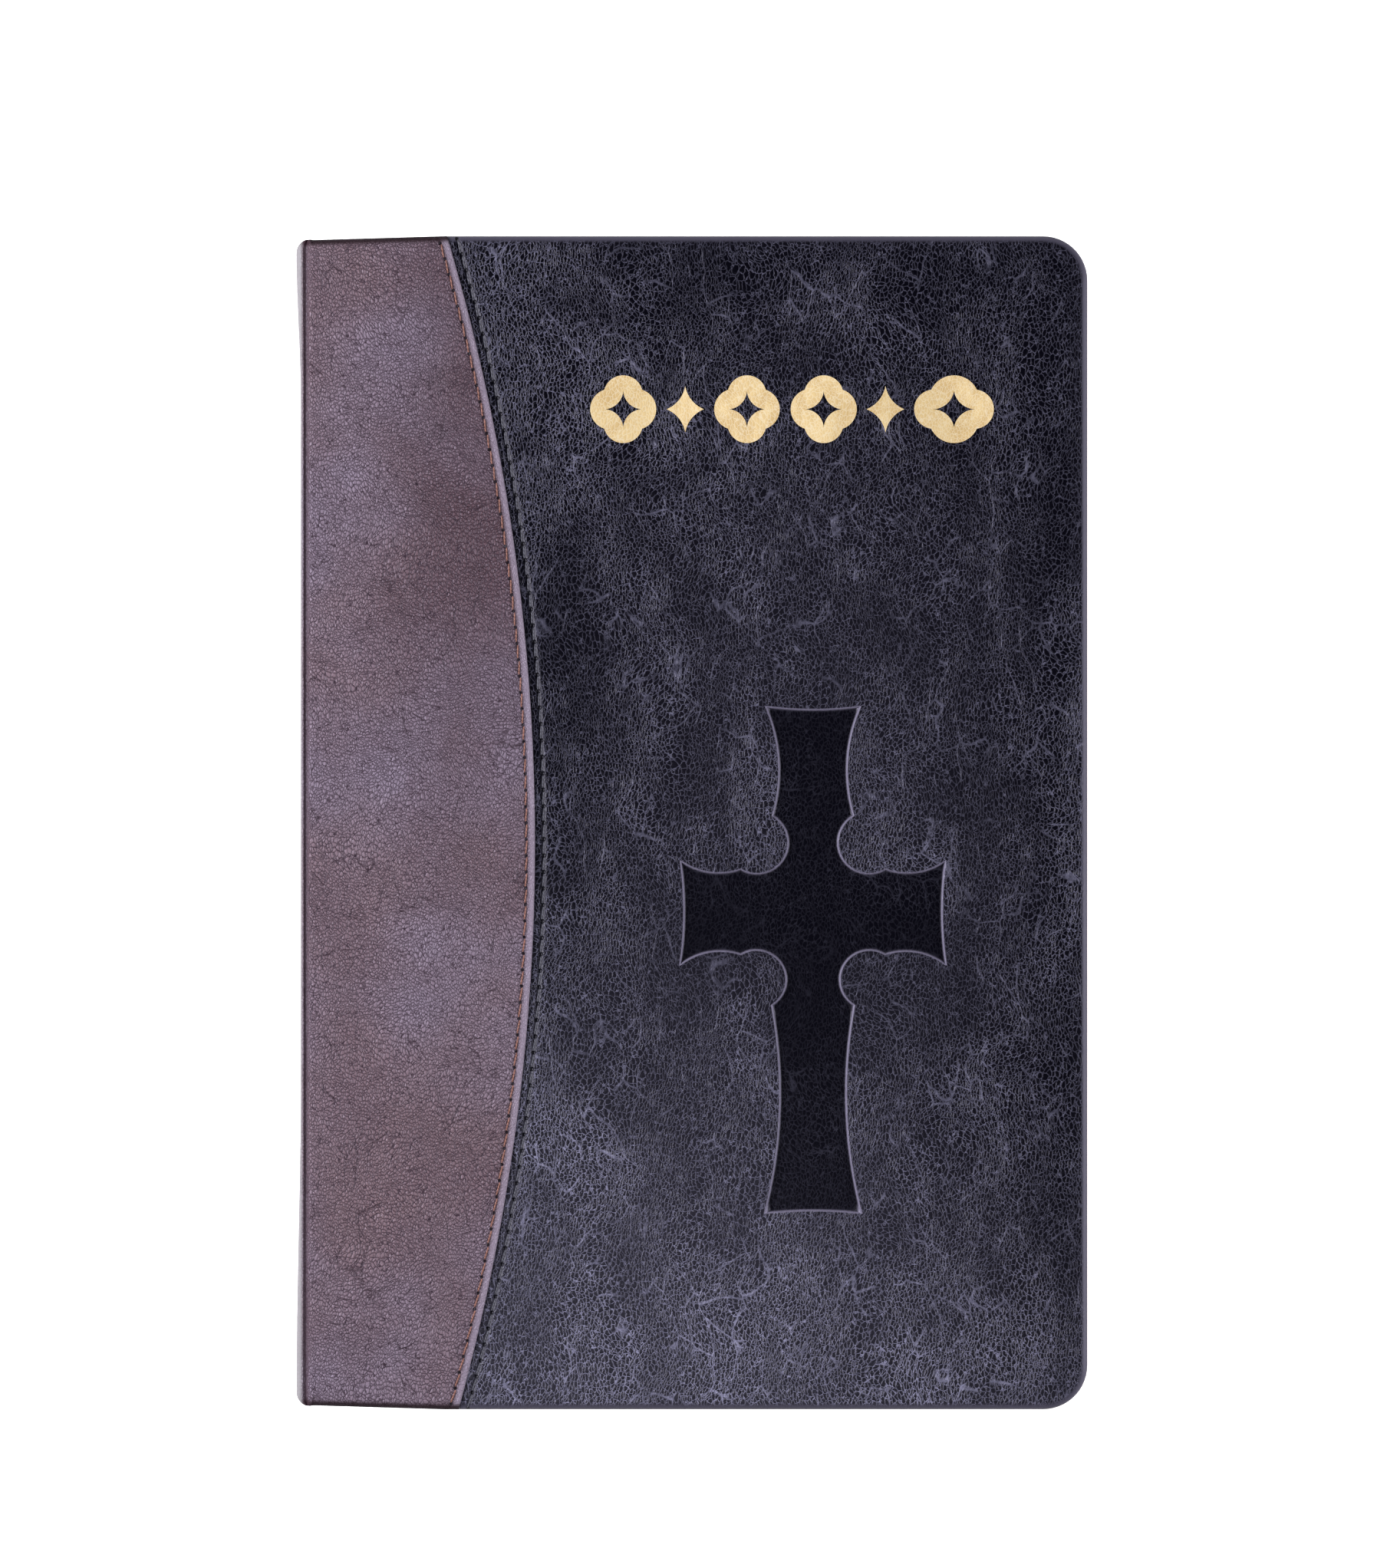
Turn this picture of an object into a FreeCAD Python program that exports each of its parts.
"""A thick hand bible in soft imitation leather, lying closed on its back cover.

Units are millimetres. +Z is up through the front cover, +Y is the head of the book and
the spine is at -X. The origin is the middle of the closed book's footprint, on the
surface that it lies on. Every cover layer is described by its depth below the outer face,
so one function builds both covers. The book opens about the outermost line of its spine.
"""
import FreeCAD, Part
import math
import os

import Sketcher
from FreeCAD import Placement, Rotation, Vector

SIZES = {
    # the closed book
    "book_width": 145.0,
    "book_height": 215.0,
    "book_thickness": 38.0,
    "cover_corner": 8.1,
    "cover_edge_round": 1.25,
    "spine_bulge": 1.9,
    # cover layers, as depths below the outer face
    "skin_depth": 0.9,
    "board_depth": 1.9,
    "infill_depth": 2.3,
    "cover_depth": 2.6,
    # how far the cover layers stop short of the spine's outermost line
    "panel_start": 3.1,
    "pastedown_start": 4.0,
    "board_start": 6.5,
    "infill_start": 12.5,
    # how far they stop short of the cover's other edges
    "board_inset": 1.0,
    "infill_inset": 14.0,
    "pastedown_inset": 4.5,
    # seam between the two leathers and its two rows of stitches
    "seam_centre_x": -420.0,
    "seam_centre_y": -3.7,
    "seam_radius": 391.3,
    "brown_row_offset": 1.57,
    "black_row_offset": 1.6,
    "thread_radius": 0.2,
    "groove_radius": 0.25,
    "stitch_length": 2.1,
    "stitch_pitch": 3.0,
    "stitch_count": 72,
    # ornament on the front panel
    "cross_x": 22.2,
    "cross_height": 92.8,
    "cross_depth": 0.6,
    "foil_depth": 0.1,
    "foil_y": 75.7,
    "foil_height": 12.4,
    # spine layers, from the outside inwards
    "spine_leather": 1.0,
    "spine_card": 0.6,
    "spine_lining": 0.3,
    "spine_tape": 0.3,
    "layer_gap": 0.05,
    "tape_width": 10.0,
    "tape_pitch": 46.0,
    "tape_count": 4,
    "band_depth": 1.7,
    "band_height": 1.8,
    "band_round": 0.7,
    # page block
    "page_inset": 3.0,
    "page_corner": 6.0,
    "flyleaf": 0.2,
    "cover_clearance": 0.1,
    "middle_zone": 1.1,
    "middle_leaf": 0.2,
    "middle_pitch": 0.25,
    "section_fold_round": 0.9,
}
SECTIONS_PER_HALF = 6
MIDDLE_LEAVES = 4

# Right-hand outline of the cross, from the top arm's corner down to the foot: each stretch
# is an arc (start, a point on the way, end), measured from the cross's own centre line.
CROSS_NOMINAL_HEIGHT = 92.8
CROSS_RIGHT_SIDE = [
    ((8.70, 21.3), (6.25, 10.0), (7.45, 1.3)),
    ((7.45, 1.3), (5.54, -6.8), (13.25, -8.5)),
    ((13.25, -8.5), (17.50, -9.2), (24.30, -6.9)),
    ((24.30, -6.9), (23.65, -16.5), (24.40, -26.1)),
    ((24.40, -26.1), (17.50, -23.5), (13.20, -24.1)),
    ((13.20, -24.1), (5.73, -25.9), (7.60, -33.4)),
    ((7.60, -33.4), (6.10, -50.6), (8.90, -71.5)),
]
CROSS_TOP_SAG = 20.7
CROSS_FOOT_RISE = -71.0

# Gold ornaments across the head of the panel: (kind, left edge, right edge).
FOIL_ROW = [
    ("quatrefoil", -18.6, -6.5),
    ("star", -4.6, 2.2),
    ("quatrefoil", 4.1, 16.1),
    ("quatrefoil", 18.1, 30.2),
    ("star", 32.0, 38.9),
    ("quatrefoil", 40.7, 55.3),
]
LOBE_CROTCH = 0.287
STAR_HOLE_REACH = 0.27
STAR_HOLE_WAIST = 0.085
STAR_WAIST = 0.15

doc = FreeCAD.newDocument("bible")
sheet = doc.addObject("Spreadsheet::Sheet", "Sizes")
for row, (alias, size) in enumerate(SIZES.items(), start=1):
    sheet.set(f"A{row}", alias)
    sheet.set(f"B{row}", str(size))
    sheet.setAlias(f"B{row}", alias)
doc.recompute()

HALF_WIDTH = "Sizes.book_width / 2"
HALF_HEIGHT = "Sizes.book_height / 2"
MIDDLE = "Sizes.book_thickness / 2"
SPINE_RADIUS = "(Sizes.book_thickness^2 / 4 + Sizes.spine_bulge^2) / (2 * Sizes.spine_bulge)"
SPINE_CENTRE = f"({SPINE_RADIUS} - {HALF_WIDTH})"
PAGE_RIGHT = f"{HALF_WIDTH} - Sizes.page_inset"
PAGE_HALF = f"{HALF_HEIGHT} - Sizes.page_inset"
CARD_IN = "(Sizes.spine_leather + Sizes.spine_card)"
LINING_IN = f"({CARD_IN} + Sizes.spine_lining)"
TAPE_IN = f"({LINING_IN} + Sizes.spine_tape)"
PAGES_IN = f"({TAPE_IN} + Sizes.layer_gap)"
INNER_FACE = "(Sizes.cover_depth + Sizes.cover_clearance)"
PAGE_STACK = f"({INNER_FACE} + Sizes.flyleaf + Sizes.cover_clearance)"

nodes = []


def number(expression):
    """The present value of an expression over the sheet."""
    return float(sheet.evalExpression(expression))


def new_body(label, is_node=True):
    body = doc.addObject("PartDesign::Body", label)
    body.Label = label
    if is_node:
        nodes.append(body)
    return body


def origin_feature(body, role):
    return next(f for f in body.Origin.OriginFeatures if f.Role == role)


def new_sketch(body, name, role, offset):
    """A sketch on one of the body's own planes, moved along its normal by an expression."""
    sketch = body.newObject("Sketcher::SketchObject", name)
    sketch.AttachmentSupport = (origin_feature(body, role), [""])
    sketch.MapMode = "FlatFace"
    sketch.setExpression("AttachmentOffset.Base.z", offset)
    return sketch


def dimension(sketch, name, expression, kind, *where):
    """A named dimension of the sketch, held by an expression over the sheet."""
    index = sketch.addConstraint(Sketcher.Constraint(kind, *where, number(expression)))
    sketch.renameConstraint(index, name)
    sketch.setExpression(f"Constraints.{name}", expression)


def pad(body, sketch, length):
    feature = body.newObject("PartDesign::Pad", sketch.Name + "_pad")
    feature.Profile = sketch
    feature.setExpression("Length", length)
    doc.recompute()
    return feature


def fillet(body, base, radius, wanted):
    """Rounds the edges of base that wanted() picks."""
    edges = [f"Edge{i}" for i, edge in enumerate(base.Shape.Edges, start=1) if wanted(edge)]
    feature = body.newObject("PartDesign::Fillet", body.Name + "_round")
    feature.Base = (base, edges)
    feature.setExpression("Radius", radius)
    doc.recompute()
    return feature


def outline(body, name, lift, left, right, half, corner):
    """Rectangle, symmetric about the X axis, whose two corners away from the spine are round.

    left is the distance from the origin to the spine-side edge, counted towards -X.
    """
    x0 = -number(left)
    x1 = number(right)
    y1 = number(half)
    bend = number(corner)
    sketch = new_sketch(body, name, "XY_Plane", lift)
    low = Vector(x1 - bend, bend - y1, 0)
    high = Vector(x1 - bend, y1 - bend, 0)
    normal = Vector(0, 0, 1)
    sketch.addGeometry([
        Part.LineSegment(Vector(x0, -y1, 0), Vector(x1 - bend, -y1, 0)),
        Part.ArcOfCircle(Part.Circle(low, normal, bend), -math.pi / 2, 0),
        Part.LineSegment(Vector(x1, bend - y1, 0), Vector(x1, y1 - bend, 0)),
        Part.ArcOfCircle(Part.Circle(high, normal, bend), 0, math.pi / 2),
        Part.LineSegment(Vector(x1 - bend, y1, 0), Vector(x0, y1, 0)),
        Part.LineSegment(Vector(x0, y1, 0), Vector(x0, -y1, 0)),
    ])
    for first in range(4):
        sketch.addConstraint(Sketcher.Constraint("Tangent", first, 2, first + 1, 1))
    sketch.addConstraint(Sketcher.Constraint("Coincident", 4, 2, 5, 1))
    sketch.addConstraint(Sketcher.Constraint("Coincident", 5, 2, 0, 1))
    sketch.addConstraint(Sketcher.Constraint("Horizontal", 0))
    sketch.addConstraint(Sketcher.Constraint("Horizontal", 4))
    sketch.addConstraint(Sketcher.Constraint("Vertical", 2))
    sketch.addConstraint(Sketcher.Constraint("Equal", 1, 3))
    sketch.addConstraint(Sketcher.Constraint("Symmetric", 5, 1, 5, 2, -1))
    dimension(sketch, "left", left, "DistanceX", 5, 1, -1, 1)
    dimension(sketch, "right", right, "DistanceX", -1, 1, 2, 1)
    dimension(sketch, "half", half, "DistanceY", -1, 1, 5, 1)
    dimension(sketch, "corner", corner, "Radius", 1)
    return sketch


def sheet_piece(label, lift, depth, left, right, half, corner, is_node=True):
    """A flat piece of even thickness cut to the rounded outline."""
    body = new_body(label, is_node)
    pad(body, outline(body, label + "_outline", lift, left, right, half, corner), depth)
    return body


def spine_layer(label, outer_in, inner_in, low, high, y_high, y_low):
    """A strip of the rounded spine between two depths below its outer face.

    The section is a piece of ring between the heights low and high; it runs along Y.
    """
    body = new_body(label)
    sketch = new_sketch(body, label + "_section", "XZ_Plane", f"-({y_high})")
    cx = number(SPINE_CENTRE)
    mid = number(MIDDLE)
    centre = Vector(cx, mid, 0)
    z_low = number(low)
    z_high = number(high)
    curves = []
    for depth in (outer_in, inner_in):
        radius = number(f"{SPINE_RADIUS} - {depth}")
        start = math.pi - math.asin((z_high - mid) / radius)
        end = math.pi - math.asin((z_low - mid) / radius)
        curves.append(Part.ArcOfCircle(Part.Circle(centre, Vector(0, 0, 1), radius), start, end))
    outer, inner = curves
    sketch.addGeometry([
        outer,
        inner,
        Part.LineSegment(inner.StartPoint, outer.StartPoint),
        Part.LineSegment(outer.EndPoint, inner.EndPoint),
    ])
    for first, second in (((2, 1), (1, 1)), ((2, 2), (0, 1)), ((3, 1), (0, 2)), ((3, 2), (1, 2))):
        sketch.addConstraint(Sketcher.Constraint("Coincident", *first, *second))
    sketch.addConstraint(Sketcher.Constraint("Coincident", 0, 3, 1, 3))
    sketch.addConstraint(Sketcher.Constraint("Horizontal", 2))
    sketch.addConstraint(Sketcher.Constraint("Horizontal", 3))
    dimension(sketch, "centre_x", SPINE_CENTRE, "DistanceX", -1, 1, 0, 3)
    dimension(sketch, "centre_z", MIDDLE, "DistanceY", -1, 1, 0, 3)
    dimension(sketch, "outer_radius", f"{SPINE_RADIUS} - {outer_in}", "Radius", 0)
    dimension(sketch, "inner_radius", f"{SPINE_RADIUS} - {inner_in}", "Radius", 1)
    dimension(sketch, "high", high, "DistanceY", -1, 1, 2, 1)
    dimension(sketch, "low", low, "DistanceY", -1, 1, 3, 1)
    pad(body, sketch, f"{y_high} - ({y_low})")
    return body


def boolean(kind, label, base, tool, is_node=False):
    feature = doc.addObject(kind, label)
    feature.Label = label
    feature.Base = base
    feature.Tool = tool
    if is_node:
        nodes.append(feature)
    return feature


def fused(label, pieces):
    feature = doc.addObject("Part::MultiFuse", label)
    feature.Shapes = pieces
    return feature


class CoverSide:
    """Turns depths below a cover's outer face into heights above the table."""

    def __init__(self, name, is_front):
        self.name = name
        self.is_front = is_front

    def lift(self, shallow, deep):
        """Height of the lower face of a layer that lies between two depths."""
        return f"Sizes.book_thickness - {deep}" if self.is_front else shallow

    def layer(self, label, shallow, deep, start, inset, corner, is_node=True):
        return sheet_piece(
            f"{self.name}_{label}",
            self.lift(shallow, deep),
            f"{deep} - ({shallow})",
            f"{HALF_WIDTH} - {start}",
            f"{HALF_WIDTH} - ({inset})",
            f"{HALF_HEIGHT} - ({inset})",
            corner,
            is_node,
        )


def seam_tool(label, kind, side):
    """A solid centred on the seam's own axis, used to divide or groove a cover's leather."""
    tool = doc.addObject(kind, f"{side.name}_{label}")
    tool.setExpression("Placement.Base.x", "Sizes.seam_centre_x")
    tool.setExpression("Placement.Base.y", "Sizes.seam_centre_y")
    return tool


def stitch_groove(side, label, radius):
    groove = seam_tool(label + "_groove", "Part::Torus", side)
    groove.setExpression("Radius1", radius)
    groove.setExpression("Radius2", "Sizes.groove_radius")
    groove.setExpression("Placement.Base.z", side.lift("Sizes.thread_radius", "Sizes.thread_radius"))
    return groove


def stitching(side, label, radius):
    """One row of straight stitches lying in its groove, spread evenly over the cover's height."""
    body = new_body(f"{side.name}_{label}_stitching")
    body.AllowCompound = True
    degrees_per_mm = "180 / pi / Sizes.seam_radius"
    span = f"(Sizes.stitch_pitch * (Sizes.stitch_count - 1) * {degrees_per_mm})"
    body.setExpression("Placement.Base.x", "Sizes.seam_centre_x")
    body.setExpression("Placement.Base.y", "Sizes.seam_centre_y")
    body.setExpression("Placement.Base.z", side.lift("Sizes.thread_radius", "Sizes.thread_radius"))
    body.setExpression("Placement.Rotation.Angle", f"-Sizes.seam_centre_y * {degrees_per_mm} - {span} / 2")
    stitch = body.newObject("PartDesign::AdditiveCylinder", body.Name + "_stitch")
    stitch.setExpression("Radius", "Sizes.thread_radius")
    stitch.setExpression("Height", "Sizes.stitch_length")
    stitch.Placement = Placement(Vector(0, 0, 0), Rotation(Vector(1, 0, 0), -90))
    stitch.setExpression("Placement.Base.x", radius)
    stitch.setExpression("Placement.Base.y", "-Sizes.stitch_length / 2")
    row = body.newObject("PartDesign::PolarPattern", body.Name + "_row")
    row.Originals = [stitch]
    row.Axis = (origin_feature(body, "Z_Axis"), [""])
    row.setExpression("Angle", span)
    row.setExpression("Occurrences", "Sizes.stitch_count")
    body.Tip = row
    return body


def arc_loop(sketch, arcs):
    """Adds a closed chain of three-point arcs to a sketch, joined end to end."""
    first = sketch.GeometryCount
    for start, way, end in arcs:
        points = [Vector(x, y, 0) for x, y in (start, way, end)]
        sketch.addGeometry(Part.Arc(*points))
    count = len(arcs)
    for i in range(count):
        here = first + i
        after = first + (i + 1) % count
        # A sketch stores every arc counter-clockwise, so the shared ends are found by position.
        ends = [(a, b) for a in (1, 2) for b in (1, 2)]
        joint = min(
            ends,
            key=lambda pair: (sketch.getPoint(here, pair[0]) - sketch.getPoint(after, pair[1])).Length,
        )
        sketch.addConstraint(Sketcher.Constraint("Coincident", here, joint[0], after, joint[1]))


def cross_arcs():
    """The whole outline of the cross, from its right-hand side mirrored about its centre line."""
    scale = number("Sizes.cross_height") / CROSS_NOMINAL_HEIGHT
    top = CROSS_RIGHT_SIDE[0][0]
    foot = CROSS_RIGHT_SIDE[-1][2]
    left = [tuple((-x, y) for x, y in reversed(arc)) for arc in reversed(CROSS_RIGHT_SIDE)]
    arcs = [
        ((-top[0], top[1]), (0.0, CROSS_TOP_SAG), top),
        *CROSS_RIGHT_SIDE,
        (foot, (0.0, CROSS_FOOT_RISE), (-foot[0], foot[1])),
        *left,
    ]
    return [tuple((x * scale, y * scale) for x, y in arc) for arc in arcs]


def around(points, centre_x, centre_y, width, height):
    """Places arcs given in fractions of a width and height about a centre."""
    return [
        tuple((centre_x + x * width, centre_y + y * height) for x, y in arc)
        for arc in points
    ]


def star_arcs(reach, waist):
    """A four-pointed star with hollow sides, in fractions of its width and height."""
    tips = [(reach, 0.0), (0.0, reach), (-reach, 0.0), (0.0, -reach)]
    ways = [(waist, waist), (-waist, waist), (-waist, -waist), (waist, -waist)]
    return [(tips[i], ways[i], tips[(i + 1) % 4]) for i in range(4)]


def quatrefoil_arcs():
    """Four round lobes that meet at crotches on the diagonals, in fractions of width and height."""
    turn = LOBE_CROTCH
    crotches = [(turn, -turn), (turn, turn), (-turn, turn), (-turn, -turn)]
    tips = [(0.5, 0.0), (0.0, 0.5), (-0.5, 0.0), (0.0, -0.5)]
    return [(crotches[i], tips[i], crotches[(i + 1) % 4]) for i in range(4)]


def cross_tool(side):
    """The sunk field of the cross, as the solid that the panel is cut by."""
    body = new_body("front_cross_field", is_node=False)
    sketch = new_sketch(body, "cross_outline", "XY_Plane", side.lift("0", "Sizes.cross_depth"))
    arc_loop(sketch, cross_arcs())
    pad(body, sketch, "Sizes.cross_depth")
    body.setExpression("Placement.Base.x", "Sizes.cross_x")
    return body


def foil_ornaments(side):
    """Six gold foil motifs let into the leather: ringed quatrefoils and slim stars."""
    body = new_body("front_foil_ornaments")
    body.AllowCompound = True
    sketch = new_sketch(body, "foil_outline", "XY_Plane", side.lift("0", "Sizes.foil_depth"))
    height = number("Sizes.foil_height")
    for kind, left, right in FOIL_ROW:
        middle = (left + right) / 2
        width = right - left
        if kind == "star":
            arc_loop(sketch, around(star_arcs(0.5, STAR_WAIST), middle, 0.0, width, height))
        else:
            hole = star_arcs(STAR_HOLE_REACH, STAR_HOLE_WAIST)
            arc_loop(sketch, around(quatrefoil_arcs(), middle, 0.0, width, height))
            arc_loop(sketch, around(hole, middle, 0.0, width, height))
    pad(body, sketch, "Sizes.foil_depth")
    body.setExpression("Placement.Base.y", "Sizes.foil_y")
    return body


def cover(side):
    """One cover: board, infill card, pastedown, two leathers and their stitching."""
    corner = "Sizes.cover_corner"
    board = side.layer(
        "board", "Sizes.skin_depth", "Sizes.board_depth", "Sizes.board_start",
        "Sizes.board_inset", f"{corner} - Sizes.board_inset",
    )
    infill = side.layer(
        "infill_card", "Sizes.board_depth", "Sizes.infill_depth", "Sizes.infill_start",
        "Sizes.infill_inset", "1",
    )
    pastedown = side.layer(
        "pastedown", "Sizes.infill_depth", "Sizes.cover_depth", "Sizes.pastedown_start",
        "Sizes.pastedown_inset", f"{corner} - Sizes.pastedown_inset",
    )
    whole = side.layer(
        "cover_block", "0", "Sizes.cover_depth", "Sizes.panel_start", "0", corner, is_node=False,
    )
    spine_edge = number(f"Sizes.panel_start - {HALF_WIDTH}")

    def runs_round_the_cover(edge):
        box = edge.BoundBox
        on_spine_edge = abs(box.XMax - spine_edge) < 0.01
        return box.ZLength < 0.01 and not on_spine_edge

    fillet(whole, whole.Tip, "Sizes.cover_edge_round", runs_round_the_cover)

    seam = seam_tool("seam_cylinder", "Part::Cylinder", side)
    seam.setExpression("Radius", "Sizes.seam_radius")
    seam.setExpression("Height", "Sizes.book_thickness")
    brown_radius = "Sizes.seam_radius - Sizes.brown_row_offset"
    black_radius = "Sizes.seam_radius + Sizes.black_row_offset"
    brown_groove = stitch_groove(side, "brown", brown_radius)
    black_groove = stitch_groove(side, "black", black_radius)

    core = [board, infill, pastedown]
    quarter = boolean("Part::Common", f"{side.name}_quarter_block", whole, seam)
    quarter_tool = fused(f"{side.name}_quarter_tools", [*core, brown_groove])
    boolean("Part::Cut", f"{side.name}_quarter_leather", quarter, quarter_tool, is_node=True)

    ornament = [cross_tool(side), foil_ornaments(side)] if side.is_front else []
    panel = boolean("Part::Cut", f"{side.name}_panel_block", whole, seam)
    panel_tool = fused(f"{side.name}_panel_tools", [*core, black_groove, *ornament])
    boolean("Part::Cut", f"{side.name}_black_panel", panel, panel_tool, is_node=True)

    stitching(side, "brown", brown_radius)
    stitching(side, "black", black_radius)


def page_edge_x(height_from_middle):
    """Distance of the page block's back from the origin, at a height above or below the middle."""
    radius = f"({SPINE_RADIUS} - {PAGES_IN})"
    return f"sqrt({radius}^2 - ({height_from_middle})^2) - {SPINE_CENTRE}"


def page_piece(label, lift, depth, height_from_middle):
    """A flat piece of the page block, as far back as the rounded spine lets it go."""
    return sheet_piece(
        label, lift, depth, page_edge_x(height_from_middle), PAGE_RIGHT, PAGE_HALF, "Sizes.page_corner",
    )


def sections(half_name, is_upper):
    """The folded sections of one half of the book, counted outwards from the middle."""
    inner = "Sizes.middle_zone / 2"
    outer = f"({MIDDLE} - {PAGE_STACK})"
    depth = f"({outer} - {inner}) / {SECTIONS_PER_HALF}"
    for count in range(SECTIONS_PER_HALF):
        near = f"({inner} + {depth} * {count})"
        far = f"({inner} + {depth} * {count + 1})"
        lift = f"{MIDDLE} + {near}" if is_upper else f"{MIDDLE} - {far}"
        body = page_piece(f"{half_name}_section_{count + 1}", lift, depth, far)
        back = -number(page_edge_x(far))

        def is_fold(edge):
            box = edge.BoundBox
            return abs(box.XMin - back) < 0.01 and box.YLength > 1 and box.XLength < 0.01

        fillet(body, body.Tip, "Sizes.section_fold_round", is_fold)


def flyleaves():
    height = f"({MIDDLE} - {INNER_FACE})"
    page_piece("front_flyleaf", f"{MIDDLE} + {height} - Sizes.flyleaf", "Sizes.flyleaf", height)
    page_piece("back_flyleaf", f"{MIDDLE} - {height}", "Sizes.flyleaf", height)


def middle_leaves():
    """Loose leaves between the two halves, which fan out as the book opens."""
    for count in range(MIDDLE_LEAVES):
        lift = f"{MIDDLE} + Sizes.middle_pitch * ({count} - {MIDDLE_LEAVES} / 2)"
        lift += " + (Sizes.middle_pitch - Sizes.middle_leaf) / 2"
        page_piece(f"middle_leaf_{count + 1}", lift, "Sizes.middle_leaf", "Sizes.middle_zone / 2")


def sewing_tapes(half_name, low, high):
    """Cloth tapes across the section backs, repeated along the spine."""
    top = "(Sizes.tape_pitch * (Sizes.tape_count - 1) + Sizes.tape_width) / 2"
    body = spine_layer(
        f"{half_name}_sewing_tapes", LINING_IN, TAPE_IN, low, high, top, f"{top} - Sizes.tape_width",
    )
    body.AllowCompound = True
    row = body.newObject("PartDesign::LinearPattern", body.Name + "_row")
    row.Originals = [body.Tip]
    row.Direction = (origin_feature(body, "Y_Axis"), [""])
    row.Reversed = True
    row.setExpression("Length", "Sizes.tape_pitch * (Sizes.tape_count - 1)")
    row.setExpression("Occurrences", "Sizes.tape_count")
    body.Tip = row


def band(label, low, high, y_high, y_low):
    """A rolled cloth band at the head or tail of the spine, behind the ends of the pages."""
    body = spine_layer(label, LINING_IN, f"({LINING_IN} + Sizes.band_depth)", low, high, y_high, y_low)
    span = number(f"{high} - ({low})")

    def runs_along_the_spine(edge):
        return edge.BoundBox.ZLength > 0.95 * span

    fillet(body, body.Tip, "Sizes.band_round", runs_along_the_spine)


def spine(half_name, is_upper):
    """The layers that wrap one half of the spine."""
    inside = "Sizes.book_thickness - Sizes.cover_depth - Sizes.layer_gap * 2"
    if is_upper:
        skin = (MIDDLE, "Sizes.book_thickness")
        core = (MIDDLE, inside)
    else:
        skin = ("0", MIDDLE)
        core = ("Sizes.cover_depth + Sizes.layer_gap * 2", MIDDLE)
    page_end = PAGE_HALF
    spine_layer(
        f"{half_name}_spine_leather", "0", "Sizes.spine_leather", *skin, HALF_HEIGHT, f"-({HALF_HEIGHT})",
    )
    spine_layer(
        f"{half_name}_spine_card", "Sizes.spine_leather", CARD_IN, *core, page_end, f"-({page_end})",
    )
    spine_layer(
        f"{half_name}_spine_lining", CARD_IN, LINING_IN, *core, page_end, f"-({page_end})",
    )
    sewing_tapes(half_name, *core)
    top = f"{page_end} + Sizes.band_height"
    bottom = f"-({page_end}) - Sizes.band_height"
    band(f"{half_name}_headband", *core, top, page_end)
    band(f"{half_name}_tailband", *core, f"-({page_end})", bottom)


def check(feature):
    for state in ("Invalid", "Error"):
        if state in feature.State:
            raise RuntimeError(f"{feature.Label} did not compute")


def write_parts():
    os.makedirs("parts", exist_ok=True)
    for feature in doc.Objects:
        check(feature)
    for node in nodes:
        if node.Shape.isNull() or not node.Shape.isValid() or node.Shape.Volume <= 0:
            raise RuntimeError(f"{node.Label} has no valid solid")
        node.Shape.exportStep(f"parts/{node.Label}.step")
        print(f"{node.Label}: {len(node.Shape.Solids)} solid(s), {node.Shape.Volume:.1f} mm3")


cover(CoverSide("front", is_front=True))
cover(CoverSide("back", is_front=False))
spine("upper", is_upper=True)
spine("lower", is_upper=False)
sections("upper", is_upper=True)
sections("lower", is_upper=False)
flyleaves()
middle_leaves()
doc.recompute()
write_parts()
